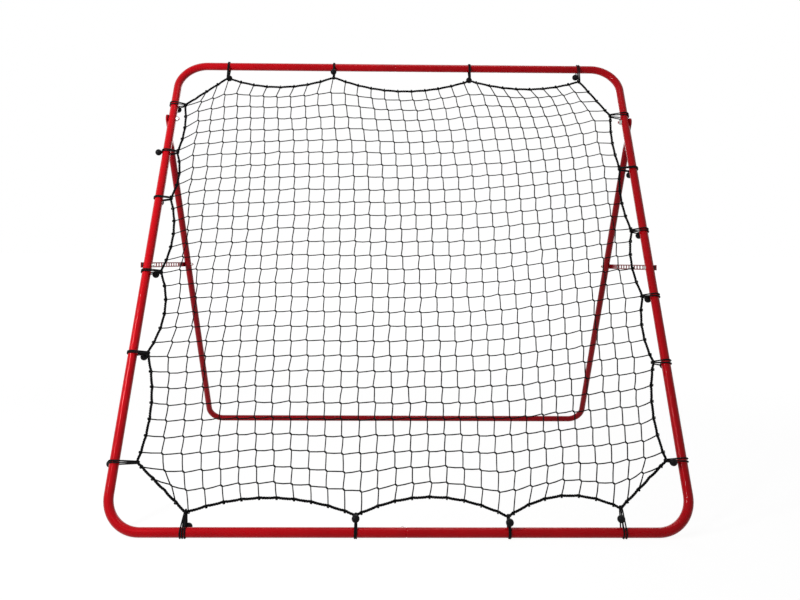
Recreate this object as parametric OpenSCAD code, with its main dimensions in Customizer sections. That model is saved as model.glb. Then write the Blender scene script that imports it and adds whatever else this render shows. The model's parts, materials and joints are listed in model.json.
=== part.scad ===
// Pitch back rebounder: a square tube frame that leans back, a net tied into it
// with elastic ball ties, and a folding rear stand held open by two struts.
// Millimetres, +Z up, +Y towards the stand. The origin is on the ground,
// midway between the front frame's ties and the back of the stand.

/* [Front frame] */
// Width and height of the front frame, between tube centre lines
frame_size = 1475; // [1350:5:1600]
// Outside diameter of the front frame's tube
tube_d = 25; // [22:0.5:30]
// Wall thickness of every tube
tube_wall = 1.2; // [1:0.1:1.6]
// Bend radius of the front frame's corners, on the centre line
frame_bend = 90; // [60:5:120]
// Angle by which the front frame leans back from upright
lean = 27.3; // [22:0.1:32]
// Where the top joint lies across the frame, from its middle
top_seam = -15; // [-60:1:60]
// Where the bottom joint lies across the frame, from its middle
bottom_seam = 15; // [-60:1:60]
// Height of the side joints above the strut bolts, along the tube
side_seam_above = 25; // [15:1:45]
// Length of the reduced end that slides into the next tube
spigot_len = 60; // [50:1:80]

/* [Stand] */
// Outside diameter of the stand's tube
stand_tube_d = 22; // [20:0.5:25]
// Bend radius of the stand's corners, on the centre line
stand_bend = 52; // [40:1:80]
// Angle between the open stand and upright
stand_lean = 29.2; // [25:0.1:34]
// Distance down the side tube from the top tube to the stand's pivot
pivot_down = 218; // [190:1:320]
// How far the leg's centre line stands out from the side of the front tube
leg_out = 5.5; // [4:0.5:9]
// Thickness of the flattened top of a leg
leg_flat_t = 5; // [4:0.5:6]
// Width of the flattened top of a leg
leg_flat_w = 28; // [26:1:32]
// Distance from the pivot to where the flattened top ends
leg_flat_len = 46; // [30:1:60]
// Distance from there to where the leg is fully round
leg_taper = 50; // [40:1:70]
// Where the stand's joint lies across its bottom bar, from its middle
stand_seam = 15; // [-60:1:60]

/* [Struts] */
// Distance up the side tube from the bottom tube to the strut's front bolt
strut_up = 733; // [680:1:780]
// Distance down the leg from the pivot to the strut's rear bolt
strut_down = 551; // [520:1:580]
// Height of the strut's strip
strip_w = 16; // [14:0.5:20]
// Thickness of the strut's strip
strip_t = 2; // [1.5:0.1:3]
// Length of one slot in the strip
slot_l = 22; // [14:1:24]
// Height of one slot in the strip
slot_w = 9; // [6:0.5:10]
// Distance from one slot to the next
slot_pitch = 27; // [26:1:36]
// Length of the plain end of the strip, from its rear bolt to the first slot
plain_len = 130; // [120:1:160]

/* [Net and ties] */
// Side of one square of the real net
mesh = 45; // [42:1:60]
// Thickness of the net's twine
twine = 2; // [1.5:0.1:3]
// Diameter of the rope round the net
rope_d = 5.5; // [4:0.5:8]
// Diameter of the elastic cord of a tie
cord_d = 3; // [2:0.1:3]
// Diameter of a tie's ball
ball_d = 20; // [16:1:24]
// Diameter of the hole through a ball
ball_bore = 6.4; // [5:0.1:8]

/* [Fasteners] */
// Diameter of the pivot bolts
pivot_bolt_d = 8; // [6:0.5:10]
// Diameter of the strut bolts
strut_bolt_d = 6; // [5:0.5:8]
// Height of the strut bolts' low heads
strut_head_h = 1.2; // [1:0.1:2]
// Height of the pivot bolts' domed heads
pivot_head_h = 2.8; // [2:0.1:4]
// Diameter of a snap button
button_d = 7; // [6:0.5:8]
// How far a snap button stands out of its tube
button_out = 3.2; // [2:0.1:4]
// Distance from a joint to its snap button
button_in = 9; // [8:0.5:14]

/* [Fits] */
// Radial clearance of a bolt or button that turns or slides in its hole
run_fit = 0.05; // [0.02:0.01:0.1]
// Radial clearance of a bolt that is clamped in its hole
bolt_fit = 0.15; // [0.1:0.05:0.3]
// Radial clearance of a reduced tube end in the next tube
spigot_fit = 0.1; // [0.05:0.01:0.2]
// Clearance between pieces that pass or rest near each other
part_gap = 0.3; // [0.2:0.05:0.4]
// Clearance between a tie's cord and what it goes round
cord_gap = 0.1; // [0.05:0.05:0.3]

/* [Hidden] */

$fn = 64;

// Sides are numbered clockwise as the player sees them: top, right, bottom, left.
// Each tie's place along its side, as a share of half the frame, also clockwise.
tie_at = [
    [-0.78, -0.30, 0.32, 0.82],
    [-0.74, -0.46, -0.16, 0.13, 0.40, 0.76],
    [-0.76, -0.37, 0.15, 0.73],
    [-0.77, -0.37, -0.035, 0.30, 0.53, 0.78]
];
// Distance of the rope from the tube's centre line at each tie
tie_reach = [
    [49, 42, 52, 50],
    [44, 41, 35, 34, 34, 41],
    [58, 37, 40, 46],
    [58, 40, 40, 35, 32, 33]
];
// Distance of the rope from the tube's centre line midway between two ties
rope_sag = [
    [86, 97, 86],
    [52, 52, 52, 50, 57],
    [88, 84, 82],
    [72, 70, 60, 49, 44]
];
// Each ball's distance from the tube's centre line, towards the net
ball_at = [
    [34, 34, 33, 40],
    [-2, 6, 7, 12, -2, 30],
    [30, 21, 30, 16],
    [-17, 26, 21, -2, -22, 6]
];
// 1 where a ball lies on the front of its cords, -1 at their back
ball_face = [
    [-1, 1, -1, 1],
    [-1, -1, -1, -1, -1, 1],
    [1, 1, 1, -1],
    [-1, -1, -1, -1, 1, -1]
];
// Each ball's distance from the middle of its cords, against the clock
ball_shift = [
    [0, 0, 0, 13.4],
    [0, -8, -3, 0, 0, -8],
    [-8, 0, 0, 6],
    [0, 5, 0, 0, 8, 0]
];
// Half the stretch of rope that a tie holds straight
rope_hold = 6;
// Pieces of rope between two ties
rope_steps = 6;
// Sides of the rope's cross-section
rope_sides = 8;
// Corners of a tie's cord round the tube and round the rope, and its cross-section's sides
wrap_points = 8;
loop_points = 4;
cord_sides = 6;
// Only every second string of the net is in this solid
string_step = 2 * mesh;

// Length of the cone between a tube and its reduced end
neck_len = 3;
// Head diameters of the bolts, and the nuts' sizes across flats and heights
pivot_head_d = 18;
strut_head_d = 12;
pivot_nut_af = 13;
pivot_nut_h = 7;
strut_nut_af = 10;
strut_nut_h = 5;
washer_t = 1.2;
spacer_wall = 3;
// Length of a bolt's end past its nut
bolt_past_nut = 2;
// Thickness and width of the snap buttons' leaf springs, and the button's flange
leaf_t = 0.6;
leaf_w = 8;
leaf_len = 40;
flange_out = 1.1;
flange_t = 1.2;
// Length of the strip past a bolt's centre
strip_end = 9;
// Distance from the rear bolt to the start and the end of the strip's crank
crank_start = 25;
crank_end = 110;
// Depth by which cutting tools run past the surfaces that they cut
cut = 1;

half = frame_size / 2;
tube_r = tube_d / 2;
spigot_r = tube_r - tube_wall - spigot_fit;
stand_r = stand_tube_d / 2;
stand_spigot_r = stand_r - tube_wall - spigot_fit;
side_seam_v = strut_up + side_seam_above - half;
pivot_up = frame_size - pivot_down;
leg_x = half + tube_r + leg_out;
flat_x = half + tube_r + part_gap;
pivot_y = pivot_up * sin(lean);
pivot_z = tube_r + pivot_up * cos(lean);
leg_len = (pivot_z - stand_r) / cos(stand_lean);
stand_y = pivot_y + leg_len * sin(stand_lean);
// A tie's cord runs round the tube on one circle and round the rope on another
wrap_r = tube_r + cord_gap + cord_d / 2;
loop_r = rope_d / 2 + cord_gap + cord_d / 2;
strand_shift = (cord_d + part_gap) / 2;
ball_stand = cord_d / 2 + part_gap + ball_d / 2;
// The strip passes outside the ties' cords
strip_x = half + wrap_r + cord_d / 2 + 0.2;
strip_rear_x = leg_x + stand_r + part_gap;
strut_front = [strut_up * sin(lean), tube_r + strut_up * cos(lean)];
strut_rear = [pivot_y + strut_down * sin(stand_lean), pivot_z - strut_down * cos(stand_lean)];
strut_run = strut_rear - strut_front;
strut_len = norm(strut_run);
strut_slope = atan2(strut_run[1], strut_run[0]);
slots = floor((strut_len - plain_len - slot_l) / slot_pitch) + 1;

function tie_s(side, k) = tie_at[side][k] * half;
function tie_slope(c) = asin((wrap_r - loop_r) / c);
function last(list) = len(list) - 1;

// Height in front of the frame's plane of a point w along the cords' front run,
// carried on circles of radius r1 round the tube and r2 round the rope
function run_n(c, w, r1, r2) =
    let (a = tie_slope(c))
    w < r1 * sin(a) ? sqrt(max(r1 * r1 - w * w, 0))
    : w > c + r2 * sin(a) ? sqrt(max(r2 * r2 - pow(w - c, 2), 0))
    : (r1 - w * sin(a)) / cos(a);

// Distance of a ball's middle from its cords' layer, with the ball against a strand
function ball_out(side, k) =
    let (aside = max(abs(ball_shift[side][k]) - strand_shift, 0))
    sqrt(max(ball_stand * ball_stand - aside * aside, 0));

function ball_n(side, k) =
    let (out = ball_out(side, k))
    ball_face[side][k] * run_n(tie_reach[side][k], ball_at[side][k], wrap_r + out, loop_r + out);

// Front of the object: the bottom ties' cords or their balls, whichever stands out most
function ball_front(k) = ball_at[2][k] * sin(lean) - ball_n(2, k) * cos(lean) - ball_d / 2;
front_y = min(-(wrap_r + cord_d / 2), min([for (k = [0 : last(tie_at[2])]) ball_front(k)]));
base_y = -(stand_y + stand_r + front_y) / 2;

// A point of the frame's plane from its place along a side and its distance inwards
function on_plane(side, s, w) =
    side == 0 ? [s, half - w]
    : side == 1 ? [half - w, -s]
    : side == 2 ? [-s, w - half]
    : [w - half, s];

function sag_w(side, k, t) =
    let (a = tie_reach[side][k])
    let (b = tie_reach[side][k + 1])
    a + (b - a) * t + 4 * t * (1 - t) * (rope_sag[side][k] - (a + b) / 2);

// The rope's route, clockwise: straight at each tie and sagging between two ties.
// The net's edge follows it, further in by round_tie where it passes a tie's cords.
function rope_path(round_tie) = [
    for (side = [0 : 3], k = [0 : last(tie_at[side])])
        let (s = tie_s(side, k))
        let (w = tie_reach[side][k] + round_tie)
        let (steps = k < last(tie_at[side]) ? rope_steps - 1 : 0)
        for (j = [-1 : steps])
            j == -1 ? on_plane(side, s - rope_hold, w)
            : j == 0 ? on_plane(side, s + rope_hold, w)
            : let (t = j / rope_steps)
              let (a = s + rope_hold)
              let (b = tie_s(side, k + 1) - rope_hold)
              on_plane(side, a + (b - a) * t, sag_w(side, k, t))
];

function unit(v) = v / norm(v);
function right_of(v) = [v[1], -v[0]];

// Mitred inward offset vector of a closed clockwise path at point i
function mitre(path, i) =
    let (n = len(path))
    let (a = right_of(unit(path[i] - path[(i + n - 1) % n])))
    let (b = right_of(unit(path[(i + 1) % n] - path[i])))
    (a + b) / (1 + a * b);

function moved_in(path, d) = [for (i = [0 : len(path) - 1]) path[i] + d * mitre(path, i)];

// A tube of radius r and the given number of sides along a closed path in the plane
module closed_tube(path, r, sides) {
    n = len(path);
    points = [
        for (i = [0 : n - 1], j = [0 : sides - 1])
            let (m = mitre(path, i))
            let (a = 360 * j / sides)
            [path[i][0] + r * cos(a) * m[0], path[i][1] + r * cos(a) * m[1], r * sin(a)]
    ];
    faces = [
        for (i = [0 : n - 1], j = [0 : sides - 1])
            let (i2 = (i + 1) % n)
            let (j2 = (j + 1) % sides)
            for (f = [
                [i * sides + j, i * sides + j2, i2 * sides + j2],
                [i * sides + j, i2 * sides + j2, i2 * sides + j]
            ]) f
    ];
    polyhedron(points, faces);
}

// Places: the frame's plane about its middle, a tie in it, and the stand's plane
module in_frame() {
    translate([0, base_y, tube_r])
        rotate([90 - lean, 0, 0])
            translate([0, half, 0])
                children();
}

// Here x runs from the tube towards the net, y to the front and z along the tube
module at_tie(side, k) {
    in_frame()
        rotate([0, 0, -90 * side])
            translate([tie_s(side, k), half, 0])
                rotate([0, -90, 0])
                    rotate([0, 0, -90])
                        children();
}

// Here y runs up the legs from the pivot, and z forwards and down
module in_stand() {
    translate([0, base_y + pivot_y, pivot_z])
        rotate([90 + stand_lean, 0, 0])
            children();
}

// Here x runs along the strut from its front bolt, and z is the object's own x
module in_strut() {
    translate([0, base_y + strut_front[0], strut_front[1]])
        rotate([strut_slope, 0, 0])
            rotate([90, 0, 90])
                children();
}

module both_sides() {
    children();
    mirror([1, 0, 0])
        children();
}

// A cylinder along x, from x1 to x2
module rod_x(x1, x2, d) {
    translate([x1, 0, 0])
        rotate([0, 90, 0])
            cylinder(d = d, h = x2 - x1);
}

module pipe(r, wall, h) {
    difference() {
        cylinder(r = r, h = h);
        translate([0, 0, -cut])
            cylinder(r = r - wall, h = h + 2 * cut);
    }
}

module pipe_bend(r, wall, bend) {
    rotate_extrude(angle = 90)
        translate([bend, 0])
            difference() {
                circle(r = r);
                circle(r = r - wall);
            }
}

// The reduced end of a tube, after a short cone
module spigot(r, reduced_r) {
    rotate_extrude()
        polygon([
            [r, 0],
            [reduced_r, neck_len],
            [reduced_r, neck_len + spigot_len],
            [reduced_r - tube_wall, neck_len + spigot_len],
            [reduced_r - tube_wall, neck_len],
            [r - tube_wall, 0]
        ]);
}

// A bent tube with its corner at the top left of a square of the given half sizes.
// Its ends are at x = end_x and y = end_y, and each is plain or has a spigot.
module bent_tube(r, reduced_r, bend, half_x, half_y, end_x, end_y, spigot_x, spigot_y) {
    back_x = spigot_x ? neck_len : 0;
    back_y = spigot_y ? neck_len : 0;
    translate([bend - half_x, half_y, 0])
        rotate([0, 90, 0])
            pipe(r, tube_wall, end_x - back_x + half_x - bend);
    translate([-half_x, half_y - bend, 0])
        rotate([90, 0, 0])
            pipe(r, tube_wall, half_y - bend - end_y - back_y);
    translate([bend - half_x, half_y - bend, 0])
        rotate([0, 0, 90])
            pipe_bend(r, tube_wall, bend);
    if (spigot_x)
        translate([end_x - back_x, half_y, 0])
            rotate([0, 90, 0])
                spigot(r, reduced_r);
    if (spigot_y)
        translate([-half_x, end_y + back_y, 0])
            rotate([90, 0, 0])
                spigot(r, reduced_r);
}

module frame_corner(end_x, end_y, spigot_x, spigot_y) {
    bent_tube(tube_r, spigot_r, frame_bend, half, half, end_x, end_y, spigot_x, spigot_y);
}

// The holes across the left side tube for the strut's stud and the pivot bolt
module stud_hole() {
    translate([0, strut_up - half, 0])
        rod_x(-half - tube_r - cut, -half + tube_r + cut, strut_bolt_d + 2 * bolt_fit);
}

module pivot_hole() {
    translate([0, pivot_up - half, 0])
        rod_x(-half - tube_r - cut, -half + tube_r + cut, pivot_bolt_d + 2 * bolt_fit);
}

// The holes of the snap buttons, at the back of the top tube and on top of the bottom one
module top_button_hole() {
    translate([top_seam - button_in, half, -tube_r - cut])
        cylinder(d = button_d + 2 * run_fit, h = tube_r + cut);
}

module bottom_button_hole() {
    translate([bottom_seam - button_in, -half, 0])
        rotate([-90, 0, 0])
            cylinder(d = button_d + 2 * run_fit, h = tube_r + cut);
}

module frame_top_left() {
    color("crimson")
        in_frame()
            difference() {
                frame_corner(top_seam, side_seam_v, false, true);
                stud_hole();
                pivot_hole();
                top_button_hole();
            }
}

module frame_top_right() {
    color("firebrick")
        in_frame()
            difference() {
                mirror([1, 0, 0])
                    frame_corner(-top_seam, side_seam_v, true, true);
                mirror([1, 0, 0])
                    stud_hole();
                mirror([1, 0, 0])
                    pivot_hole();
                top_button_hole();
            }
}

module frame_bottom_left() {
    color("crimson")
        in_frame()
            difference() {
                mirror([0, 1, 0])
                    frame_corner(bottom_seam, -side_seam_v, false, false);
                stud_hole();
                bottom_button_hole();
            }
}

module frame_bottom_right() {
    color("firebrick")
        in_frame()
            difference() {
                mirror([1, 0, 0])
                    mirror([0, 1, 0])
                        frame_corner(-bottom_seam, -side_seam_v, true, false);
                mirror([1, 0, 0])
                    stud_hole();
                bottom_button_hole();
            }
}

// A snap button that points along +z from a tube of radius r whose reduced end is
// reduced_r: a domed pin on a flange that rests inside the reduced end
function flange_top(reduced_r) =
    sqrt(pow(reduced_r - tube_wall, 2) - pow(button_d / 2 + flange_out, 2)) - run_fit;
button_travel = button_out + tube_wall;

module snap_button(r, reduced_r) {
    top = flange_top(reduced_r);
    dome = button_d * 0.65;
    translate([0, 0, top - flange_t])
        cylinder(d = button_d + 2 * flange_out, h = flange_t);
    intersection() {
        translate([0, 0, top - flange_t])
            cylinder(d = button_d, h = r + button_out - top + flange_t);
        union() {
            translate([0, 0, r + button_out - dome])
                sphere(r = dome);
            translate([0, 0, top - 2 * flange_t])
                cylinder(d = 2 * button_d, h = r + button_out - dome - top + 2 * flange_t);
        }
    }
}

// The V-shaped leaf spring under that button. Its arms point away from the spigot's end.
module snap_spring(reduced_r) {
    low = sqrt(pow(reduced_r - tube_wall, 2) - pow(leaf_w / 2, 2)) - run_fit;
    high = flange_top(reduced_r) - flange_t - button_travel - part_gap;
    rotate([90, 0, 0])
        linear_extrude(leaf_w, center = true)
            polygon([
                [-button_d, -low],
                [leaf_len, -low],
                [leaf_len + leaf_t, leaf_t - low],
                [-button_d, high],
                [-button_d, high - leaf_t],
                [leaf_len - 3 * leaf_t, leaf_t - low],
                [-button_d, leaf_t - low]
            ]);
}

// The snap buttons' places, with z out of the tube and x away from the spigot's end
module at_top_button() {
    in_frame()
        translate([top_seam - button_in, half, 0])
            rotate([180, 0, 0])
                children();
}

module at_bottom_button() {
    in_frame()
        translate([bottom_seam - button_in, -half, 0])
            rotate([-90, 0, 0])
                children();
}

module at_stand_button() {
    in_stand()
        translate([stand_seam - button_in, -leg_len, 0])
            rotate([180, 0, 0])
                children();
}

module top_snap_button() {
    color("silver")
        at_top_button()
            snap_button(tube_r, spigot_r);
}

module top_snap_spring() {
    color("gray")
        at_top_button()
            snap_spring(spigot_r);
}

module bottom_snap_button() {
    color("silver")
        at_bottom_button()
            snap_button(tube_r, spigot_r);
}

module bottom_snap_spring() {
    color("gray")
        at_bottom_button()
            snap_spring(spigot_r);
}

module stand_snap_button() {
    color("silver")
        at_stand_button()
            snap_button(stand_r, stand_spigot_r);
}

module stand_snap_spring() {
    color("gray")
        at_stand_button()
            snap_spring(stand_spigot_r);
}

// One leg, as a bent tube with its corner at the bottom left and a flattened top
module stand_half(end_x, with_spigot) {
    round_from = leg_flat_len + leg_taper;
    mirror([0, 1, 0])
        bent_tube(stand_r, stand_spigot_r, stand_bend, leg_x, leg_len, end_x, round_from,
            with_spigot, false);
    hull() {
        translate([-leg_x, -round_from, 0])
            rotate([90, 0, 0])
                cylinder(r = stand_r, h = 0.01, $fn = 32);
        translate([-flat_x - leg_flat_t, -leg_flat_len, -leg_flat_w / 2])
            cube([leg_flat_t, 0.01, leg_flat_w]);
    }
    difference() {
        union() {
            rod_x(-flat_x - leg_flat_t, -flat_x, leg_flat_w);
            translate([-flat_x - leg_flat_t, -leg_flat_len, -leg_flat_w / 2])
                cube([leg_flat_t, leg_flat_len, leg_flat_w]);
        }
        rod_x(-flat_x - leg_flat_t - cut, -flat_x + cut, pivot_bolt_d + 2 * run_fit);
    }
}

module rear_bolt_hole() {
    translate([0, -strut_down, 0])
        rod_x(-leg_x - stand_r - cut, -leg_x + stand_r + cut, strut_bolt_d + 2 * bolt_fit);
}

module stand_button_hole() {
    translate([stand_seam - button_in, -leg_len, -stand_r - cut])
        cylinder(d = button_d + 2 * run_fit, h = stand_r + cut);
}

module stand_left() {
    color("darkred")
        in_stand()
            difference() {
                stand_half(stand_seam, false);
                rear_bolt_hole();
                stand_button_hole();
            }
}

module stand_right() {
    color("darkred")
        in_stand()
            difference() {
                mirror([1, 0, 0])
                    stand_half(-stand_seam, true);
                mirror([1, 0, 0])
                    rear_bolt_hole();
                stand_button_hole();
            }
}

// A low domed head of diameter d and height h, standing on z = 0
module dome_head(d, h) {
    ball_r = (d * d / 4 + h * h) / (2 * h);
    intersection() {
        translate([0, 0, h - ball_r])
            sphere(r = ball_r, $fn = 96);
        cylinder(d = d + 1, h = h + 1);
    }
}

module dome_head_x(x, d, h) {
    translate([x, 0, 0])
        rotate([0, 90, 0])
            dome_head(d, h);
}

// A hexagon nut from x1 outwards along -x, with its smooth collar at the far end
module nut_x(x1, af, h, bore) {
    rotate([0, -90, 0])
        translate([0, 0, -x1])
            difference() {
                union() {
                    cylinder(d = af / cos(30), h = h * 0.7, $fn = 6);
                    cylinder(d = af * 0.9, h = h);
                }
                translate([0, 0, -cut])
                    cylinder(d = bore, h = h + 2 * cut);
            }
}

// Pivot bolts: they turn in the flattened leg tops and are clamped in the side tubes
module at_pivots() {
    in_frame()
        both_sides()
            translate([0, pivot_up - half, 0])
                children();
}

pivot_nut_x = half - tube_r - part_gap - washer_t;
pivot_head_x = flat_x + leg_flat_t + run_fit;

module pivot_bolts() {
    color("firebrick")
        at_pivots() {
            rod_x(pivot_nut_x - pivot_nut_h - bolt_past_nut, pivot_head_x, pivot_bolt_d);
            dome_head_x(pivot_head_x, pivot_head_d, pivot_head_h);
        }
}

module pivot_washers() {
    color("silver")
        at_pivots()
            difference() {
                rod_x(pivot_nut_x, pivot_nut_x + washer_t, pivot_bolt_d * 2);
                rod_x(pivot_nut_x - cut, pivot_nut_x + washer_t + cut, pivot_bolt_d + 2 * bolt_fit);
            }
}

module pivot_nuts() {
    color("silver")
        at_pivots()
            nut_x(pivot_nut_x, pivot_nut_af, pivot_nut_h, pivot_bolt_d + 2 * run_fit);
}

// The strut's front bolts: a stud and nut stay in the side tube, and the screw's
// head and its short stub stay in the strip
module at_studs() {
    in_frame()
        both_sides()
            translate([0, strut_up - half, 0])
                children();
}

stud_nut_x = half - tube_r - part_gap;
spacer_x = strip_x - run_fit;

module strut_studs() {
    color("silver")
        at_studs()
            rod_x(stud_nut_x - strut_nut_h - bolt_past_nut, spacer_x - part_gap, strut_bolt_d);
}

module strut_front_nuts() {
    color("silver")
        at_studs()
            nut_x(stud_nut_x, strut_nut_af, strut_nut_h, strut_bolt_d + 2 * run_fit);
}

module strut_spacers() {
    color("dimgray")
        at_studs()
            difference() {
                rod_x(half + tube_r + run_fit, spacer_x, strut_bolt_d + 2 * spacer_wall);
                rod_x(half, spacer_x + cut, strut_bolt_d + 2 * bolt_fit);
            }
}

// The strut's rear bolts: clamped in the legs, with the strips turning on them
rear_nut_x = leg_x - stand_r - part_gap;

module at_rear_bolts() {
    in_stand()
        both_sides()
            translate([0, -strut_down, 0])
                children();
}

module strut_rear_bolts() {
    color("firebrick")
        at_rear_bolts() {
            rod_x(rear_nut_x - strut_nut_h - bolt_past_nut, strip_rear_x + strip_t + run_fit,
                strut_bolt_d);
            dome_head_x(strip_rear_x + strip_t + run_fit, strut_head_d, strut_head_h);
        }
}

module strut_rear_nuts() {
    color("silver")
        at_rear_bolts()
            nut_x(rear_nut_x, strut_nut_af, strut_nut_h, strut_bolt_d + 2 * run_fit);
}

// The strip seen from above: along the tube's side, then cranked out round the leg
module strip_plan() {
    a = strut_len - crank_end;
    b = strut_len - crank_start;
    polygon([
        [-strip_end, strip_x],
        [a, strip_x],
        [b, strip_rear_x],
        [strut_len + strip_end, strip_rear_x],
        [strut_len + strip_end, strip_rear_x + strip_t],
        [b, strip_rear_x + strip_t],
        [a, strip_x + strip_t],
        [-strip_end, strip_x + strip_t]
    ]);
}

// Everything that is cut through the strip, and its rounded ends
module slot() {
    run = (slot_l - slot_w) / 2;
    translate([0, 0, strip_x - cut])
        linear_extrude(strip_t + 2 * cut) {
            translate([-run, -slot_w / 2])
                square([2 * run, slot_w]);
            for (x = [-run, run])
                translate([x, 0])
                    circle(d = slot_w);
        }
}

module strip_bolt_hole(x, z) {
    translate([x, 0, z - cut])
        cylinder(d = strut_bolt_d + 2 * run_fit, h = strip_t + 2 * cut);
}

module strip() {
    difference() {
        rotate([-90, 0, 0])
            mirror([0, 1, 0])
                linear_extrude(strip_w, center = true)
                    strip_plan();
        for (i = [1 : slots])
            translate([strut_len - plain_len - (i - 0.5) * slot_pitch, 0, 0])
                slot();
        strip_bolt_hole(0, strip_x);
        strip_bolt_hole(strut_len, strip_rear_x);
    }
}

// A screw's head on the strip's front end, with its stub in the strip's hole
module strut_screw() {
    translate([0, 0, strip_x]) {
        cylinder(d = strut_bolt_d, h = strip_t + run_fit);
        translate([0, 0, strip_t + run_fit])
            dome_head(strut_head_d, strut_head_h);
    }
}

module strut_left() {
    color("maroon")
        mirror([1, 0, 0])
            in_strut()
                strip();
}

module strut_right() {
    color("maroon")
        in_strut()
            strip();
}

module strut_screw_left() {
    color("firebrick")
        mirror([1, 0, 0])
            in_strut()
                strut_screw();
}

module strut_screw_right() {
    color("firebrick")
        in_strut()
            strut_screw();
}

module border_rope() {
    color("black")
        in_frame()
            closed_tube(rope_path(0), rope_d / 2, rope_sides);
}

// Strings between the rope's sides, half a step off the middle from top to bottom
module strings() {
    across = floor(half / string_step);
    for (k = [-across : across])
        translate([k * string_step - twine / 2, -half])
            square([twine, frame_size]);
    for (k = [0 : across - 1], up = [-1, 1])
        translate([-half, up * (k + 0.5) * string_step - twine / 2])
            square([frame_size, twine]);
}

module net() {
    edge = rope_d / 2 + part_gap;
    path = rope_path(cord_gap + cord_d);
    color("dimgray")
        in_frame()
            linear_extrude(twine, center = true)
                difference() {
                    polygon(moved_in(path, edge));
                    difference() {
                        polygon(moved_in(path, edge + twine));
                        strings();
                    }
                }
}

// Corners of a line that goes round a circle and touches it between its corners
function round_points(x, r, from, to, n) =
    let (step = (to - from) / n)
    [
        for (i = [0.5 : n - 0.5])
            let (a = from + i * step)
            [x + r / cos(step / 2) * cos(a), r / cos(step / 2) * sin(a)]
    ];

// The route of one loop of a tie's cord round the tube and the rope
function loop_path(c) =
    let (a = tie_slope(c))
    concat(
        round_points(0, wrap_r, 90 - a, 270 + a, wrap_points),
        round_points(c, loop_r, a - 90, 90 - a, loop_points)
    );

module ties(side) {
    for (k = [0 : last(tie_at[side])], z = [-strand_shift, strand_shift])
        at_tie(side, k)
            translate([0, 0, z])
                closed_tube(loop_path(tie_reach[side][k]), cord_d / 2, cord_sides);
}

// A tie's ball, with its hole along the cords
module tie_ball() {
    rotate([0, 90, 0])
        difference() {
            sphere(d = ball_d);
            cylinder(d = ball_bore, h = 2 * ball_d, center = true);
        }
}

module tie_balls(side) {
    for (k = [0 : last(tie_at[side])])
        at_tie(side, k)
            translate([ball_at[side][k], ball_n(side, k), ball_shift[side][k]])
                tie_ball();
}

module ties_top() {
    color("black")
        ties(0);
}

module ties_right() {
    color("black")
        ties(1);
}

// The bottom ties' cords lie flat where the frame stands on them
module ties_bottom() {
    color("black")
        intersection() {
            ties(2);
            translate([-half, base_y - half, 0])
                cube([frame_size, frame_size, frame_size]);
        }
}

module ties_left() {
    color("black")
        ties(3);
}

module tie_balls_top() {
    color("black")
        tie_balls(0);
}

module tie_balls_right() {
    color("black")
        tie_balls(1);
}

module tie_balls_bottom() {
    color("black")
        tie_balls(2);
}

module tie_balls_left() {
    color("black")
        tie_balls(3);
}

frame_top_left();
frame_top_right();
frame_bottom_left();
frame_bottom_right();
top_snap_spring();
bottom_snap_spring();
pivot_bolts();
pivot_washers();
pivot_nuts();
strut_spacers();
strut_studs();
strut_front_nuts();
border_rope();
net();
ties_top();
ties_right();
ties_bottom();
ties_left();
tie_balls_top();
tie_balls_right();
tie_balls_bottom();
tie_balls_left();
top_snap_button();
bottom_snap_button();
stand_left();
stand_right();
stand_snap_spring();
stand_snap_button();
strut_rear_bolts();
strut_rear_nuts();
strut_left();
strut_screw_left();
strut_right();
strut_screw_right();
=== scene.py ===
"""A pitch back rebounder: its net, rope, elastic ties, finishes and studio."""
import json
import math
import random

import bmesh
import bpy
import numpy as np
from mathutils import Matrix, Vector


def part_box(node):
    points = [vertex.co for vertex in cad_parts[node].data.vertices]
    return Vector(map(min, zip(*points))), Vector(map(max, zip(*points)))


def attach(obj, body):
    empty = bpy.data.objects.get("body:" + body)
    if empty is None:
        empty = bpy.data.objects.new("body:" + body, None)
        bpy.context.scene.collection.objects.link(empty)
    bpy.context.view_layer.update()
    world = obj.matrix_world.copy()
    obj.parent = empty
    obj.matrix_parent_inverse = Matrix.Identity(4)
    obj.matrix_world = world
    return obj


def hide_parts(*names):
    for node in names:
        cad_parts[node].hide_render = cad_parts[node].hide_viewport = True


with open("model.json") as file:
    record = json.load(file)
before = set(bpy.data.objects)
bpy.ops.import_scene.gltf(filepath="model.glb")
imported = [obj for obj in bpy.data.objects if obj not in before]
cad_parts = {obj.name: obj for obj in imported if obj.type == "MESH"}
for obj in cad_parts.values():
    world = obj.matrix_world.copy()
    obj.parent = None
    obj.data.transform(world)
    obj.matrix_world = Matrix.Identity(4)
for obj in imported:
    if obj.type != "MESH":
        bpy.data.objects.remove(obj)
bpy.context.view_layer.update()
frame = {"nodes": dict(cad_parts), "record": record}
nodes = frame["nodes"]

# The front frame: a square of tube that leans back
LEAN = math.radians(27.3)
HALF = 0.7375
TUBE_R = 0.0125
TUBE_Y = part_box("frame_bottom_left")[0].y + TUBE_R

# Sides are numbered clockwise as the player sees them: top, right, bottom, left.
# Each tie's place is a share of half the frame, and the other values are metres.
TIE_AT = (
    (-0.78, -0.30, 0.32, 0.82),
    (-0.74, -0.46, -0.16, 0.13, 0.40, 0.76),
    (-0.76, -0.37, 0.15, 0.73),
    (-0.77, -0.37, -0.035, 0.30, 0.53, 0.78),
)
TIE_REACH = (
    (0.049, 0.042, 0.052, 0.050),
    (0.044, 0.041, 0.035, 0.034, 0.034, 0.041),
    (0.058, 0.037, 0.040, 0.046),
    (0.058, 0.040, 0.040, 0.035, 0.032, 0.033),
)
ROPE_SAG = (
    (0.086, 0.097, 0.086),
    (0.052, 0.052, 0.052, 0.050, 0.057),
    (0.088, 0.084, 0.082),
    (0.072, 0.070, 0.060, 0.049, 0.044),
)
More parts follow.
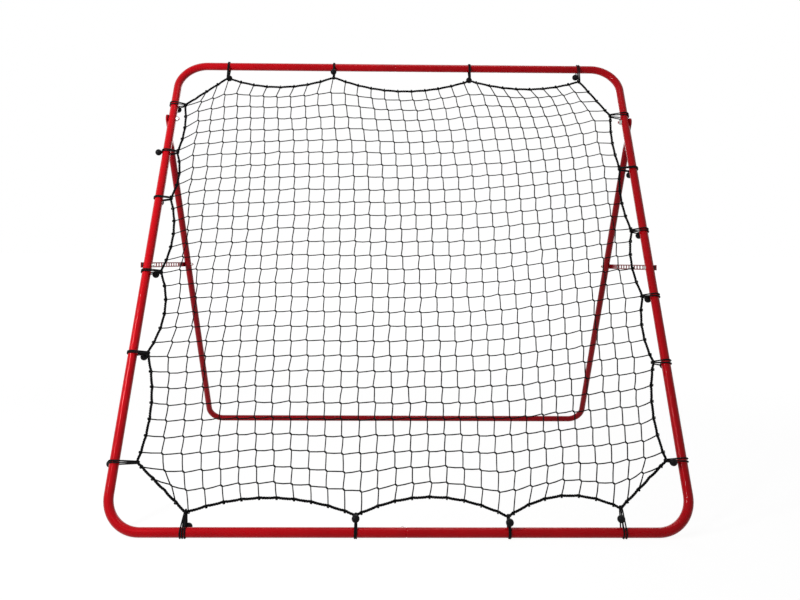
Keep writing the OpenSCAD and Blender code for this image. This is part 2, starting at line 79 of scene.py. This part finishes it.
# How far apart a tie's two strands lie round the tube
STRAND_SPREAD = (
    (0.0034, 0.0034, 0.0040, 0.0060),
    (0.0085, 0.0040, 0.0080, 0.0075, 0.0090, 0.0080),
    (0.0072, 0.0036, 0.0040, 0.0120),
    (0.0050, 0.0045, 0.0055, 0.0036, 0.0060, 0.0090),
)
# The tie, by side and number, whose cord goes round once more between its strands
THIRD_STRAND = (2, 3)
ROPE_D = 0.0076
CORD_D = 0.0038
TWINE_D = 0.0034
SQUARES = 30
# One turn of the rope's strands, and how far they swell into one another
ROPE_LAY = 0.019
STRAND_PRESS = 1.1
# How deep and how far along a string's knot pulls the rope in
STRING_DENT = 0.0016
DENT_REACH = 0.008
# From a knot's middle to its end: both strings run down its slant together
KNOT_RIGHT = 0.0021
KNOT_DOWN = 0.0019
# How much longer and slimmer than a ball a knot is
KNOT_STRETCH = (1.45, 0.88, 0.88)
# How far the net bows back in its middle, and how far knots and strings stray
NET_SAG = 0.009
KNOT_STRAY = 0.0010
STRING_BOW = 0.0008
STRING_STRAY = 0.0004
# How far upright strings pass in front of the others' middle plane, and those behind
STRING_FRONT = 0.0006
# How far the net's corners lie along the rope from the middles of the cut corners,
# top right first
CORNER_SLIP = (-0.078, -0.023, -0.012, -0.045)
# Where both ends of each side would lie if its strings ran straight to the rope,
# and the share of that difference that passes from one row of knots to the next
SIDE_SLIP = ((-0.075, -0.066), (-0.102, 0.003), (-0.041, -0.003), (-0.030, -0.008))
SLIP_SHARE = 0.1
# How much stiffer a string is along its length than across it
STRING_PULL = 2.0
# Slack places in the net: across, up, size, and how far the knots have slid there
SLACK = (
    (0.35, 1.35, 0.42, 0.034, 0.008),
    (0.74, 0.42, 0.30, -0.009, 0.031),
    (-0.25, 1.12, 0.23, 0.009, 0.004),
    (0.30, 0.53, 0.54, 0.012, -0.016),
)


def at(u, v, n):
    """World places of points u across, v up from the bottom tube and n in front."""
    u, v, n = np.broadcast_arrays(u, v, n)
    y = TUBE_Y + v * math.sin(LEAN) - n * math.cos(LEAN)
    z = TUBE_R + v * math.cos(LEAN) + n * math.sin(LEAN)
    return np.stack((u, y, z), axis=-1)


def on_plane(side, along, inward):
    """Across and up of a point along a side, and inward from its centre line."""
    u, v = (
        (along, HALF - inward),
        (HALF - inward, -along),
        (-along, inward - HALF),
        (inward - HALF, along),
    )[side]
    return u, v + HALF


# Turning lines into cords
def resample(line, step):
    """Points of a closed line at even distances of about step."""
    closed = np.vstack((line, line[:1]))
    run = np.concatenate(([0], np.cumsum(np.linalg.norm(np.diff(closed, axis=0), axis=1))))
    places = np.linspace(0, run[-1], int(run[-1] / step) + 1)[:-1]
    return np.stack([np.interp(places, run, closed[:, i]) for i in range(closed.shape[1])], -1)


def rounded(line, times):
    """A closed line whose points are moved towards their neighbours."""
    for _ in range(times):
        line = (np.roll(line, 1, 0) + 2 * line + np.roll(line, -1, 0)) / 4
    return line


def cord(name, lines, radius, closed, sides=6):
    """A mesh of round cords along lines of points, with its UV map in metres."""
    bm = bmesh.new()
    uv = bm.loops.layers.uv.new("UVMap")
    for line in lines:
        curve = bpy.data.curves.new(name, "CURVE")
        curve.dimensions = "3D"
        curve.bevel_depth = radius
        curve.bevel_resolution = (sides - 4) // 2
        curve.use_fill_caps = not closed
        spline = curve.splines.new("POLY")
        spline.points.add(len(line) - 1)
        spline.points.foreach_set("co", np.column_stack((line, np.ones(len(line)))).ravel())
        spline.use_cyclic_u = closed
        maker = bpy.data.objects.new(name, curve)
        bpy.context.scene.collection.objects.link(maker)
        piece = bpy.data.meshes.new_from_object(maker)
        first = len(bm.faces)
        bm.from_mesh(piece)
        bm.faces.ensure_lookup_table()
        length = float(np.linalg.norm(np.diff(line, axis=0), axis=1).sum())
        for face in bm.faces[first:]:
            for loop in face.loops:
                around, run = loop[uv].uv
                loop[uv].uv = (around * 2 * math.pi * radius, run * length)
        bpy.data.objects.remove(maker)
        bpy.data.curves.remove(curve)
        bpy.data.meshes.remove(piece)
    if not closed:
        # the caps come apart from the cord's ends
        bmesh.ops.remove_doubles(bm, verts=bm.verts, dist=1e-6)
        bmesh.ops.recalc_face_normals(bm, faces=bm.faces)
    return bm


def piece(name, bm, material, body, smooth=True):
    """A finished piece from a bmesh, riding on a body."""
    mesh = bpy.data.meshes.new(name)
    bm.to_mesh(mesh)
    bm.free()
    for face in mesh.polygons:
        face.use_smooth = smooth
    mesh.materials.append(material)
    thing = bpy.data.objects.new(name, mesh)
    bpy.context.scene.collection.objects.link(thing)
    if body:
        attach(thing, body)
    return thing


# Finishes
def finish(name, color, roughness, metallic=0.0):
    """A material with its shader and an object-space coordinate node."""
    mat = bpy.data.materials.new(name)
    mat.use_nodes = True
    tree = mat.node_tree
    shader = tree.nodes["Principled BSDF"]
    shader.inputs["Base Color"].default_value = (*color, 1)
    shader.inputs["Roughness"].default_value = roughness
    shader.inputs["Metallic"].default_value = metallic
    place = tree.nodes.new("ShaderNodeTexCoord")
    return mat, tree, shader, place


def noise(tree, vector, scale, detail=2.0, roughness=0.5):
    """A noise value of 0 to 1."""
    node = tree.nodes.new("ShaderNodeTexNoise")
    node.inputs["Scale"].default_value = scale
    node.inputs["Detail"].default_value = detail
    node.inputs["Roughness"].default_value = roughness
    tree.links.new(vector, node.inputs["Vector"])
    return node.outputs["Fac"]


def ramp(tree, value, stops):
    """A colour ramp from (position, colour) stops."""
    node = tree.nodes.new("ShaderNodeValToRGB")
    ends = node.color_ramp.elements
    for i, (position, color) in enumerate(stops):
        stop = ends[i] if i < 2 else ends.new(position)
        stop.position = position
        stop.color = (*color, 1)
    tree.links.new(value, node.inputs["Fac"])
    return node.outputs["Color"]


def spread(tree, value, low, high):
    """A value of 0 to 1 carried to low to high."""
    node = tree.nodes.new("ShaderNodeMapRange")
    node.inputs["To Min"].default_value = low
    node.inputs["To Max"].default_value = high
    tree.links.new(value, node.inputs["Value"])
    return node.outputs["Result"]


def bump(tree, shader, height, strength, distance, under=None):
    """A bump on the shader, over another one where that is given."""
    node = tree.nodes.new("ShaderNodeBump")
    node.inputs["Strength"].default_value = strength
    node.inputs["Distance"].default_value = distance
    tree.links.new(height, node.inputs["Height"])
    if under:
        tree.links.new(under, node.inputs["Normal"])
    tree.links.new(node.outputs["Normal"], shader.inputs["Normal"])
    return node.outputs["Normal"]


def powder_coat(name, color, deep, roughness):
    """Glossy powder coat: a fine orange peel over slow waves, with faint dull places."""
    mat, tree, shader, place = finish(name, color, roughness)
    obj = place.outputs["Object"]
    shader.inputs["Coat Weight"].default_value = 0.12
    shader.inputs["Coat Roughness"].default_value = 0.05
    shader.inputs["Specular IOR Level"].default_value = 0.3
    shader.inputs["Specular Tint"].default_value = (1, 0.03, 0.05, 1)
    tone = ramp(tree, noise(tree, obj, 9, 3), ((0.35, deep), (0.62, color)))
    tree.links.new(tone, shader.inputs["Base Color"])
    dull = spread(tree, noise(tree, obj, 35, 4, 0.65), roughness - 0.06, roughness + 0.1)
    tree.links.new(dull, shader.inputs["Roughness"])
    waves = bump(tree, shader, noise(tree, obj, 160, 1), 0.06, 0.0006)
    bump(tree, shader, noise(tree, obj, 1100, 2), 0.05, 0.0002, waves)
    return mat


def plated(name, color, roughness):
    """Zinc plate: a bright metal with cloudy patches and fine scratches."""
    mat, tree, shader, place = finish(name, color, roughness, 1.0)
    obj = place.outputs["Object"]
    dark = tuple(c * 0.72 for c in color)
    tone = ramp(tree, noise(tree, obj, 220, 4, 0.6), ((0.3, dark), (0.65, color)))
    tree.links.new(tone, shader.inputs["Base Color"])
    worn = spread(tree, noise(tree, obj, 600, 3), roughness - 0.08, roughness + 0.14)
    tree.links.new(worn, shader.inputs["Roughness"])
    stretch = tree.nodes.new("ShaderNodeMapping")
    stretch.inputs["Scale"].default_value = (300, 4000, 4000)
    tree.links.new(obj, stretch.inputs["Vector"])
    bump(tree, shader, noise(tree, stretch.outputs["Vector"], 1, 2), 0.15, 0.0001)
    return mat


def moulded(name, color, roughness, shine):
    """Moulded plastic: a fine texture from the tool and a few rubbed places."""
    mat, tree, shader, place = finish(name, color, roughness)
    shader.inputs["Specular IOR Level"].default_value = shine
    obj = place.outputs["Object"]
    rubbed = spread(tree, noise(tree, obj, 180, 4, 0.6), roughness - 0.08, roughness + 0.15)
    tree.links.new(rubbed, shader.inputs["Roughness"])
    bump(tree, shader, noise(tree, obj, 1800, 2), 0.2, 0.0001)
    return mat


def laid_fibre(name, color, pale_flecks_and_highlight, along, angle, roughness):
    """Spun fibre whose yarns run round the cord at an angle, from the UV map."""
    mat, tree, shader, place = finish(name, color, roughness)
    shader.inputs["Specular IOR Level"].default_value = 0.06
    turn = tree.nodes.new("ShaderNodeMapping")
    turn.inputs["Rotation"].default_value = (0, 0, angle)
    tree.links.new(place.outputs["UV"], turn.inputs["Vector"])
    yarn = tree.nodes.new("ShaderNodeTexWave")
    yarn.bands_direction = "Y"
    yarn.inputs["Scale"].default_value = along
    yarn.inputs["Distortion"].default_value = 1.5
    yarn.inputs["Detail"].default_value = 2
    tree.links.new(turn.outputs["Vector"], yarn.inputs["Vector"])
    fuzz = noise(tree, place.outputs["Object"], 900, 3, 0.7)
    tone = ramp(tree, fuzz, ((0.35, color), (0.8, pale_flecks_and_highlight)))
    tree.links.new(tone, shader.inputs["Base Color"])
    laid = bump(tree, shader, yarn.outputs["Fac"], 0.5, 0.0003)
    bump(tree, shader, fuzz, 0.3, 0.0002, laid)
    return mat


def braided(name, color, pale_flecks_and_highlight):
    """Elastic cord: two sets of yarns cross round it, from the UV map, with painted highlights
    on their crowns and painted shade in the grooves between them.
    """
    mat, tree, shader, place = finish(name, color, 0.62)
    shader.inputs["Specular IOR Level"].default_value = 0.08
    heights = []
    for angle in (0.7, -0.7):
        turn = tree.nodes.new("ShaderNodeMapping")
        turn.inputs["Rotation"].default_value = (0, 0, angle)
        tree.links.new(place.outputs["UV"], turn.inputs["Vector"])
        yarn = tree.nodes.new("ShaderNodeTexWave")
        yarn.bands_direction = "Y"
        yarn.inputs["Scale"].default_value = 320
        tree.links.new(turn.outputs["Vector"], yarn.inputs["Vector"])
        heights.append(yarn.outputs["Fac"])
    both = tree.nodes.new("ShaderNodeMath")
    both.operation = "MAXIMUM"
    tree.links.new(heights[0], both.inputs[0])
    tree.links.new(heights[1], both.inputs[1])
    # Painted light and shade: the colour runs from dark in the grooves to pale on the yarns'
    # crowns, following their height.
    tone = ramp(tree, both.outputs["Value"], ((0.3, color), (0.95, pale_flecks_and_highlight)))
    tree.links.new(tone, shader.inputs["Base Color"])
    bump(tree, shader, both.outputs["Value"], 0.6, 0.0003)
    return mat


FINISHES = {
    "frame_paint": powder_coat("frame_paint", (0.64, 0.002, 0.008), (0.56, 0.001, 0.006), 0.26),
    "stand_paint": powder_coat("stand_paint", (0.42, 0.003, 0.009), (0.34, 0.002, 0.007), 0.28),
    "strut_paint": powder_coat("strut_paint", (0.32, 0.005, 0.012), (0.25, 0.004, 0.010), 0.34),
    "bolt_head_paint": powder_coat(
        "bolt_head_paint", (0.45, 0.01, 0.02), (0.36, 0.007, 0.016), 0.30),
    "zinc_hardware": plated("zinc_hardware", (0.60, 0.60, 0.58), 0.34),
    "snap_button": plated("snap_button", (0.66, 0.66, 0.65), 0.26),
    "spring_steel": plated("spring_steel", (0.30, 0.30, 0.31), 0.38),
    "spacer_plastic": moulded("spacer_plastic", (0.012, 0.012, 0.013), 0.5, 0.3),
    "ball_plastic": moulded("ball_plastic", (0.003, 0.003, 0.004), 0.42, 0.1),
    "net_twine": laid_fibre(
        "net_twine", (0.002, 0.0025, 0.0025), (0.008, 0.009, 0.009), 260, 0.6, 0.75),
    "border_rope": laid_fibre(
        "border_rope", (0.002, 0.002, 0.0025), (0.008, 0.008, 0.009), 420, 0.5, 0.75),
    "elastic_cord": braided("elastic_cord", (0.002, 0.002, 0.002), (0.008, 0.008, 0.009)),
}
for entry in frame["record"]["subparts"]:
    mesh = nodes[entry["node"]].data
    mesh.materials.clear()
    mesh.materials.append(FINISHES[entry["material_slot"]])


# The rope round the net
SPAN_POINTS = 40
CORNER_POINTS = 20
ROPE_STEP = 0.0024
# From a rope's middle to the middles of three touching strands, in their radii
TRIAD = 2 / math.sqrt(3)


def rope_line():
    """The rope's route in the frame's plane, and its corners' numbers along it."""
    points = []
    corners = []
    for side in range(4):
        shares = TIE_AT[side]
        for k, share in enumerate(shares):
            here = share * HALF
            reach = TIE_REACH[side][k]
            if k + 1 < len(shares):
                there = shares[k + 1] * HALF
                bow = ROPE_SAG[side][k] - (reach + TIE_REACH[side][k + 1]) / 2
                for t in np.linspace(0, 1, SPAN_POINTS + 1)[:-1]:
                    w = reach + (TIE_REACH[side][k + 1] - reach) * t + 4 * t * (1 - t) * bow
                    points.append(on_plane(side, here + (there - here) * t, w))
            else:
                after = (side + 1) % 4
                start = np.array(on_plane(side, here, reach))
                end = np.array(on_plane(after, TIE_AT[after][0] * HALF, TIE_REACH[after][0]))
                corners.append(len(points) + CORNER_POINTS // 2)
                for t in np.linspace(0, 1, CORNER_POINTS + 1)[:-1]:
                    points.append(start + (end - start) * t)
    return np.array(points), corners


rope_points, corner_points = rope_line()
rope_closed = np.vstack((rope_points, rope_points[:1]))
rope_run = np.concatenate(([0], np.cumsum(np.linalg.norm(np.diff(rope_closed, axis=0), axis=1))))
ROPE_LENGTH = rope_run[-1]


def along_rope(places):
    """Across and up of places along the rope, in metres from its first tie."""
    places = np.mod(places, ROPE_LENGTH)
    return np.stack([np.interp(places, rope_run, rope_closed[:, i]) for i in (0, 1)], -1)


def loose(u, v):
    """A small even sway out of the frame's plane, the same each time."""
    return 0.0012 * np.sin(9 * u + 4 * v) + 0.0008 * np.sin(17 * v - 7 * u)


def string_ends(slips):
    """Places along the rope where each side's strings are tied, from its ends' slips."""
    middles = rope_run[corner_points]
    sides = []
    for side, (first, last) in enumerate(slips):
        start = middles[side - 1] - (ROPE_LENGTH if side == 0 else 0)
        sides.append(np.linspace(start + first, middles[side] + last, SQUARES + 1))
    return sides


HELD_SLIP = [(CORNER_SLIP[side - 1], CORNER_SLIP[side]) for side in range(4)]


def rope_strands():
    """Three strands laid round the rope's route, pulled in a little at each string."""
    line = rounded(resample(rope_points, ROPE_STEP), 2)
    places = np.linspace(0, ROPE_LENGTH, len(line) + 1)[:-1, None]
    gap = (places - np.concatenate(string_ends(HELD_SLIP)) + ROPE_LENGTH / 2) % ROPE_LENGTH
    gap = np.abs(gap - ROPE_LENGTH / 2).min(axis=1)
    way = np.roll(line, -1, 0) - np.roll(line, 1, 0)
    inward = np.stack((way[:, 1], -way[:, 0]), -1) / np.linalg.norm(way, axis=1)[:, None]
    line = line + inward * STRING_DENT * np.exp(-(gap / DENT_REACH) ** 2)[:, None]
    middle = at(line[:, 0], line[:, 1], loose(line[:, 0], line[:, 1]))
    ahead = np.roll(middle, -1, 0) - np.roll(middle, 1, 0)
    ahead /= np.linalg.norm(ahead, axis=1)[:, None]
    front = np.array(at(0.0, 0.0, 1.0) - at(0.0, 0.0, 0.0))
    side = np.cross(ahead, front)
    turns = round(ROPE_LENGTH / ROPE_LAY)
    angle = np.linspace(0, 2 * math.pi * turns, len(line) + 1)[:-1]
    thick = ROPE_D / 2 / (TRIAD + STRAND_PRESS)
    strands = []
    for i in range(3):
        turn = angle + i * 2 * math.pi / 3
        lift = np.cos(turn)[:, None] * side + np.sin(turn)[:, None] * front
        strands.append(middle + lift * thick * TRIAD)
    return cord("border_rope_strands", strands, thick * STRAND_PRESS, True)


rope = piece("border_rope_strands", rope_strands(), FINISHES["border_rope"], "front_frame")
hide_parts("border_rope")


# The net
SETTLING_TURNS = 4000
SETTLING_STRIDE = 1.6


def with_edges(grid, slips):
    """The net's knots with its four edges put on the rope."""
    sides = [along_rope(places) for places in string_ends(slips)]
    grid = grid.copy()
    grid[0] = sides[0]
    grid[:, -1] = sides[1]
    grid[-1] = sides[2][::-1]
    grid[:, 0] = sides[3][::-1]
    return grid


def evened(grid):
    """Every inner knot brought to where the pulls of its four strings balance."""
    share = np.linspace(0, 1, SQUARES + 1)[:, None]
    for j in range(1, SQUARES):
        grid[j] = grid[j, 0] * (1 - share) + grid[j, -1] * share
    rows, columns = np.indices((SQUARES - 1, SQUARES - 1))
    across = np.array((STRING_PULL, 1.0))
    upright = across[::-1]
    for turn in range(SETTLING_TURNS):
        inner = grid[1:-1, 1:-1]
        pulls = across * (grid[1:-1, :-2] + grid[1:-1, 2:])
        pulls += upright * (grid[:-2, 1:-1] + grid[2:, 1:-1])
        balance = pulls / (2 * (across + upright))
        turned = ((rows + columns + turn) % 2)[..., None]
        grid[1:-1, 1:-1] = inner + SETTLING_STRIDE * turned * (balance - inner)
    return grid


def net_grid():
    """Across, up and front of every knot, row by row from the top left."""
    count = SQUARES + 1
    grid = evened(with_edges(np.zeros((count, count, 2)), SIDE_SLIP))
    places = grid.copy()
    held = with_edges(grid, HELD_SLIP)
    fade = SLIP_SHARE ** np.arange(count)[:, None]
    grid += fade[:, None] * (held[0] - places[0]) + fade[::-1, None] * (held[-1] - places[-1])
    grid += fade * (held[:, :1] - places[:, :1]) + fade[::-1] * (held[:, -1:] - places[:, -1:])
    share = np.sin(math.pi * np.linspace(0, 1, count)).clip(0)
    hold = np.sqrt(np.outer(share, share))[..., None]
    for u, v, size, right, up in SLACK:
        gap = np.hypot(places[..., 0] - u, places[..., 1] - v) / size
        grid += hold * np.exp(-gap ** 2)[..., None] * np.array((right, up))
    grid = with_edges(grid, HELD_SLIP)
    dice = np.random.default_rng(11)
    grid[1:-1, 1:-1] += dice.normal(0, KNOT_STRAY, (SQUARES - 1, SQUARES - 1, 2))
    deep = loose(grid[..., 0], grid[..., 1]) - NET_SAG * hold[..., 0] ** 2
    return np.concatenate((grid, deep[..., None]), axis=2)


def strings(grid):
    """Every string through its knots, with a slight bow between two of them."""
    dice = np.random.default_rng(23)
    slant = np.zeros((SQUARES + 1, 3))
    slant[1:-1] = (KNOT_RIGHT, -KNOT_DOWN, 0)
    lines = []
    for i in range(1, SQUARES):
        for knots, front in ((grid[:, i], STRING_FRONT), (grid[i], -STRING_FRONT)):
            starts = knots - slant
            ends = knots + slant
            middles = (ends[:-1] + starts[1:]) / 2
            middles[:, 1] -= STRING_BOW
            middles += dice.normal(0, STRING_STRAY, middles.shape)
            line = np.stack((starts[:-1], ends[:-1], middles), axis=1).reshape(-1, 3)
            line = np.vstack((line[1:], knots[-1:]))
            lines.append(at(line[:, 0], line[:, 1], line[:, 2] + front))
    return lines


def knot_shape():
    """One small long knot, along X."""
    bm = bmesh.new()
    size = Matrix.Diagonal((*KNOT_STRETCH, 1))
    bmesh.ops.create_uvsphere(bm, u_segments=6, v_segments=4, radius=TWINE_D * 0.92, matrix=size)
    return as_mesh(bm)


def hitch_shape():
    """Two turns of twine wound round the rope, along Z."""
    turns = 2
    steps = 16
    sides = 5
    thick = TWINE_D * 0.34
    pitch = 2.2 * thick
    bm = bmesh.new()
    start = Matrix.Translation((ROPE_D / 2 + thick / 2, 0, -pitch * turns / 2))
    ring = bmesh.ops.create_circle(
        bm, segments=sides, radius=thick, matrix=start @ Matrix.Rotation(math.pi / 2, 4, "X"))
    edges = list({edge for vert in ring["verts"] for edge in vert.link_edges})
    bmesh.ops.spin(bm, geom=edges, cent=(0, 0, 0), axis=(0, 0, 1),
                   dvec=(0, 0, pitch * turns / steps), angle=2 * math.pi * turns, steps=steps)
    bmesh.ops.holes_fill(bm, edges=bm.edges, sides=sides)
    return as_mesh(bm)


def as_mesh(bm):
    """A small shape's mesh, with its faces turned outwards."""
    mesh = bpy.data.meshes.new("shape")
    bmesh.ops.recalc_face_normals(bm, faces=bm.faces)
    bm.to_mesh(mesh)
    bm.free()
    return mesh


def stamped(shape, places):
    """A bmesh with a copy of a small mesh at each place."""
    bm = bmesh.new()
    for place in places:
        copy = shape.copy()
        copy.transform(place)
        bm.from_mesh(copy)
        bpy.data.meshes.remove(copy)
    return as_mesh(bm)


def knot_places(grid):
    """Where each inner knot lies, its length down its strings' slant."""
    dice = random.Random(5)
    slant = math.atan2(KNOT_DOWN, KNOT_RIGHT)
    turned = Matrix.Rotation(-LEAN, 4, "X") @ Matrix.Rotation(slant, 4, "Y")
    for j in range(1, SQUARES):
        for i in range(1, SQUARES):
            roll = Matrix.Rotation(dice.uniform(0, math.pi), 4, "X")
            yield Matrix.Translation(at(*grid[j, i])) @ turned @ roll


def hitch_places(grid):
    """Where each string's end is wound round the rope, and the rope's way there."""
    inner = range(1, SQUARES)
    ends = [(grid[j, i], grid[j, i + 1] - grid[j, i - 1]) for j in (0, -1) for i in inner]
    ends += [(grid[j, i], grid[j + 1, i] - grid[j - 1, i]) for i in (0, -1) for j in inner]
    for knot, way in ends:
        way = Vector(at(*(knot + way)) - at(*knot))
        yield Matrix.Translation(at(*knot)) @ way.to_track_quat("Z", "Y").to_matrix().to_4x4()


def make_net():
    """The strings, their knots, and their windings round the rope."""
    grid = net_grid()
    bm = cord("net_strings", strings(grid), TWINE_D / 2, False)
    bm.from_mesh(stamped(knot_shape(), knot_places(grid)))
    bm.from_mesh(stamped(hitch_shape(), hitch_places(grid)))
    return bm


net = piece("knotted_net", make_net(), FINISHES["net_twine"], "front_frame")
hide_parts("net")


# The elastic ties
TIE_CLEARANCE = 0.0001
# From a tie's middle to each of its two strands where they lie on the rope
STRAND_SHIFT = 0.00165
# How far a strand that goes over them stands off, in cord diameters
OVER_STRANDS = 0.75


def tie_loop(side, k, shift, spread_at_tube):
    """One loop of a tie's cord, round the tube on one circle and the rope on another.

    A loop between two others (shift 0) goes over them where they meet on the rope.
    """
    reach = TIE_REACH[side][k]
    here = TIE_AT[side][k] * HALF
    wrap = TUBE_R + CORD_D / 2 + TIE_CLEARANCE
    hook = ROPE_D / 2 + CORD_D / 2 + TIE_CLEARANCE
    if shift == 0:
        hook += CORD_D * OVER_STRANDS
    slope = math.asin((wrap - hook) / reach)
    points = []
    for a in np.linspace(math.pi / 2 - slope, 3 * math.pi / 2 + slope, 19):
        points.append((wrap * math.cos(a), wrap * math.sin(a)))
    for a in np.linspace(slope - math.pi / 2, math.pi / 2 - slope, 9):
        points.append((reach + hook * math.cos(a), hook * math.sin(a)))
    points = np.array(points)
    share = np.clip(points[:, 0] / reach, 0, 1)
    sideways = here + shift * (STRAND_SHIFT * share + spread_at_tube / 2 * (1 - share))
    u, v = on_plane(side, sideways, points[:, 0])
    return at(u, v, points[:, 1])


def ties(side):
    """The cords of one side's ties, flat where they would pass under the ground."""
    loops = []
    for k, gap in enumerate(STRAND_SPREAD[side]):
        loops.append(tie_loop(side, k, 1, gap))
        loops.append(tie_loop(side, k, -1, gap))
        if (side, k) == THIRD_STRAND:
            loops.append(tie_loop(side, k, 0, gap))
    bm = cord("tie_cords", loops, CORD_D / 2, True, 8)
    for vert in bm.verts:
        vert.co.z = max(vert.co.z, 0)
    return bm


for side, place in enumerate(("top", "right", "bottom", "left")):
    cords = piece("tie_cords_" + place, ties(side), FINISHES["elastic_cord"], "front_frame")
    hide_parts("ties_" + place)


# The studio: to the camera the floor is part glow, more of it further away
FLOOR_SIZE = 30
FLOOR_GLOW = 1.15
FLOOR_SHARE = (0.82, 0.9)
FLOOR_NEAR = 1.4
FLOOR_FAR = 5.0
SKY_LIGHT = 0.05


def shown_ray(tree):
    """1 for rays that come from the camera, a shiny surface or through glass."""
    path = tree.nodes.new("ShaderNodeLightPath")
    shown = path.outputs["Is Camera Ray"]
    for ray in ("Is Glossy Ray", "Is Transmission Ray"):
        both = tree.nodes.new("ShaderNodeMath")
        both.operation = "MAXIMUM"
        tree.links.new(shown, both.inputs[0])
        tree.links.new(path.outputs[ray], both.inputs[1])
        shown = both.outputs["Value"]
    return shown


def studio_floor():
    """A pale floor that is near white to the camera and keeps a soft shadow."""
    bm = bmesh.new()
    bmesh.ops.create_grid(bm, x_segments=1, y_segments=1, size=FLOOR_SIZE)
    mat, tree, shader, place = finish("studio_floor", (0.7, 0.7, 0.7), 0.7)
    shader.inputs["Specular IOR Level"].default_value = 0.1
    tone = ramp(tree, noise(tree, place.outputs["Object"], 3, 3),
                ((0.3, (0.69, 0.69, 0.69)), (0.7, (0.71, 0.71, 0.71))))
    tree.links.new(tone, shader.inputs["Base Color"])
    glow = tree.nodes.new("ShaderNodeEmission")
    glow.inputs["Color"].default_value = (1, 1, 1, 1)
    glow.inputs["Strength"].default_value = FLOOR_GLOW
    away = tree.nodes.new("ShaderNodeVectorMath")
    away.operation = "LENGTH"
    tree.links.new(place.outputs["Object"], away.inputs[0])
    share = spread(tree, away.outputs["Value"], *FLOOR_SHARE)
    share.node.inputs["From Min"].default_value = FLOOR_NEAR
    share.node.inputs["From Max"].default_value = FLOOR_FAR
    seen = tree.nodes.new("ShaderNodeMath")
    seen.operation = "MULTIPLY"
    tree.links.new(shown_ray(tree), seen.inputs[0])
    tree.links.new(share, seen.inputs[1])
    mix = tree.nodes.new("ShaderNodeMixShader")
    tree.links.new(seen.outputs["Value"], mix.inputs["Fac"])
    tree.links.new(shader.outputs["BSDF"], mix.inputs[1])
    tree.links.new(glow.outputs["Emission"], mix.inputs[2])
    tree.links.new(mix.outputs["Shader"], tree.nodes["Material Output"].inputs["Surface"])
    floor = piece("studio_floor", bm, mat, None, False)


def studio_sky():
    """A white sky that lights the object only a little."""
    world = bpy.data.worlds.new("studio_sky")
    bpy.context.scene.world = world
    world.use_nodes = True
    tree = world.node_tree
    sky = tree.nodes["Background"]
    sky.inputs["Color"].default_value = (1, 1, 1, 1)
    strength = spread(tree, shown_ray(tree), SKY_LIGHT, 1.0)
    tree.links.new(strength, sky.inputs["Strength"])


def softbox(name, place, target, size, power):
    """An area lamp that is turned towards a target."""
    light = bpy.data.lights.new(name, "AREA")
    light.shape = "RECTANGLE"
    light.size, light.size_y = size
    light.energy = power
    lamp = bpy.data.objects.new(name, light)
    lamp.location = place
    lamp.rotation_euler = (Vector(target) - Vector(place)).to_track_quat("-Z", "Y").to_euler()
    bpy.context.scene.collection.objects.link(lamp)


studio_floor()
studio_sky()
for name, place, target, size, power in (
    ("left_softbox", (-1.45, -1.3, 1.4), (-0.5, 0, 0.6), (0.3, 0.6), 16),
    ("top_softbox", (0.2, -0.2, 3.4), (0, 0, 0.4), (1.6, 1.2), 15),
    ("front_softbox", (-1.9, -2.6, 2.1), (0, -0.3, 0.4), (0.3, 0.9), 22),
    ("back_softbox", (0.8, 3.0, 1.9), (0, 0, 0.7), (2.0, 1.2), 18),
):
    softbox(name, place, target, size, power)

# The camera looks level from in front of the frame, with its lens moved down.
# Its focal length and its picture's width are in pixels.
CAMERA_BACK = 1.8758
FOCAL_LENGTH = 752.7
PICTURE_WIDTH = 800

camera_data = bpy.data.cameras.new("camera")
camera_data.sensor_width = 36
camera_data.lens = FOCAL_LENGTH * camera_data.sensor_width / PICTURE_WIDTH
camera_data.shift_y = -0.0765
camera = bpy.data.objects.new("camera", camera_data)
camera.location = (-0.0294, TUBE_Y - CAMERA_BACK, 0.7447)
camera.rotation_euler = (math.radians(90), math.radians(-0.336), math.radians(-0.766))
bpy.context.scene.collection.objects.link(camera)
bpy.context.scene.camera = camera
bpy.context.scene.view_settings.view_transform = "Standard"
